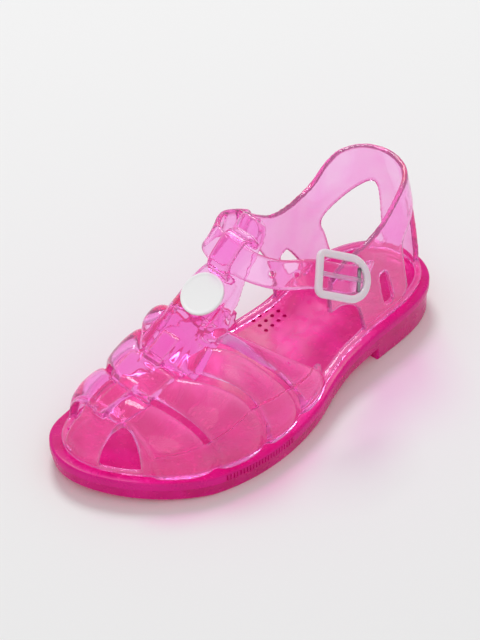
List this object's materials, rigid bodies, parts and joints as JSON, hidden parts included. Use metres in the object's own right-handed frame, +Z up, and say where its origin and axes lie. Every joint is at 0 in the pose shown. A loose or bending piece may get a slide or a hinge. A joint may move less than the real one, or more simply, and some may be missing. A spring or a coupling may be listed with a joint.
{
  "type": "jelly sandal",
  "caption": "Child's left jelly sandal in clear pink PVC: woven closed vamp, T-bar, open heel cage and a buckled ankle strap on a low-heeled hollow sole.",
  "frame": {"origin": "on the floor under the middle of the heel, at the heel's rest pad", "axes": "+Z up, -Y from the heel to the toe, +X to the wearer's left, which is the shoe's outer side with the buckle"},
  "size_m": [0.0762, 0.1886, 0.0843],
  "materials": {
    "thick_clear_pvc": "clear hot pink PVC, glossy",
    "clear_pvc": "clear pink PVC, glossy",
    "frosted_plastic": "frosted pale pink plastic",
    "white_badge": "plain white, smooth"
  },
  "bodies": {
    "root": {"sole": "thick_clear_pvc", "upper": "clear_pvc", "ankle_strap": "clear_pvc", "buckle_frame": "frosted_plastic", "buckle_prong": "frosted_plastic", "badge": "white_badge"}
  },
  "joints": []
}
